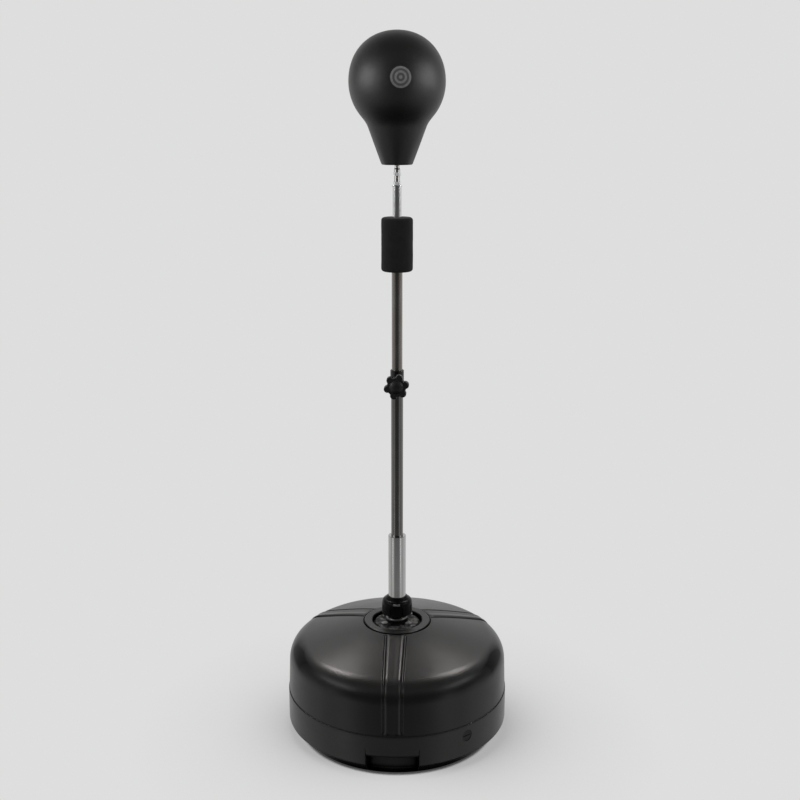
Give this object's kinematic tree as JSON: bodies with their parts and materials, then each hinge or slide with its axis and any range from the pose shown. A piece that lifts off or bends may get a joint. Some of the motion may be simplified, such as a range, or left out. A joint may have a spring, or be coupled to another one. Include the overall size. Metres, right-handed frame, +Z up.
{
  "type": "free-standing reflex ball stand",
  "caption": "Free-standing reflex ball: inflated ball on a telescopic steel mast with knob clamp, sprung on the hub of a round base that is filled with water or sand.",
  "frame": {"origin": "centre of the base on the floor plane", "axes": "+Z up along the mast, -Y towards the front (clamp knob and ball badge), +X to the right seen from the front"},
  "size_m": [0.48, 0.48, 1.485],
  "materials": {
    "base_plastic": "satin, fine leather-like moulding texture",
    "black_rubber": "matte",
    "plug_plastic": "matte",
    "dark_steel": "semi-gloss black paint",
    "zinc_steel": "bright zinc plated",
    "brass": "turned",
    "spring_steel": "black oxide, oiled",
    "collar_plastic": "semi-gloss",
    "chrome_tube": "satin chrome",
    "pole_steel": "dark chrome",
    "nylon": "matte",
    "knob_plastic": "fine grain",
    "upper_pole_steel": "dark chrome",
    "foam": "closed-cell foam, matte",
    "rod_chrome": "polished",
    "ball_leather": "smooth coated synthetic leather, satin",
    "bladder_rubber": "matte",
    "badge_print": "printed patch"
  },
  "bodies": {
    "base": {"base_shell": "base_plastic", "floor_pads": "black_rubber", "hub_ring": "base_plastic", "flange_plate": "dark_steel", "hub_washers": "zinc_steel", "hub_bolts": "zinc_steel", "hub_inserts": "brass", "spring_seat_lower": "dark_steel"},
    "plug": {"drain_plug": "plug_plastic", "plug_seal": "black_rubber"},
    "spring": {"coil_spring": "spring_steel"},
    "mast_lower": {"spring_seat_upper": "zinc_steel", "collar": "collar_plastic", "base_tube": "chrome_tube", "tube_bush_lower": "collar_plastic", "tube_bush_upper": "chrome_tube", "lower_pole": "pole_steel", "clamp_collar": "collar_plastic", "clamp_insert": "brass"},
    "knob_thrust": {"knob_washer": "nylon"},
    "knob": {"clamp_screw": "zinc_steel", "star_knob": "knob_plastic"},
    "mast_upper": {"upper_pole": "upper_pole_steel", "guide_bush": "nylon", "foam_grip": "foam", "neck_tube": "rod_chrome", "neck_plug": "zinc_steel", "ball_stud": "zinc_steel", "lock_nuts": "rod_chrome", "neck_spacer": "collar_plastic", "neck_ferrule": "black_rubber", "ball_cover": "ball_leather", "ball_bladder": "bladder_rubber", "ball_core": "black_rubber", "ball_socket": "nylon", "ball_valve": "bladder_rubber", "ball_badge": "badge_print"}
  },
  "joints": [
    {"name": "sway_side", "type": "hinge", "parent": "base", "child": "spring", "pos_m": [0, 0, 0.272], "axis": [0, 1, 0], "range_deg": [-12, 12], "stiffness_Nm_per_rad": 47, "deforming": ["coil_spring"]},
    {"name": "sway_fore_aft", "type": "hinge", "parent": "spring", "child": "mast_lower", "pos_m": [0, 0, 0.272], "axis": [1, 0, 0], "range_deg": [-12, 12], "stiffness_Nm_per_rad": 47},
    {"name": "height_slide", "type": "slide", "parent": "mast_lower", "child": "mast_upper", "axis": [0, 0, 1], "range_m": [-0.19, 0.12]},
    {"name": "knob_travel", "type": "slide", "parent": "mast_lower", "child": "knob_thrust", "axis": [0, -1, 0], "range_m": [0, 0.0025]},
    {"name": "knob_turn", "type": "hinge", "parent": "knob_thrust", "child": "knob", "pos_m": [0, -0.03, 0.782], "axis": [0, -1, 0], "range_deg": [0, 720]},
    {"name": "plug_pull", "type": "slide", "parent": "base", "child": "plug", "axis": [0.6361, -0.7716, 0], "range_m": [0, 0.04]}
  ],
  "couplings": [
    {"joint": "knob_turn", "follows": "knob_travel", "rad_per_m": 5026.5}
  ]
}
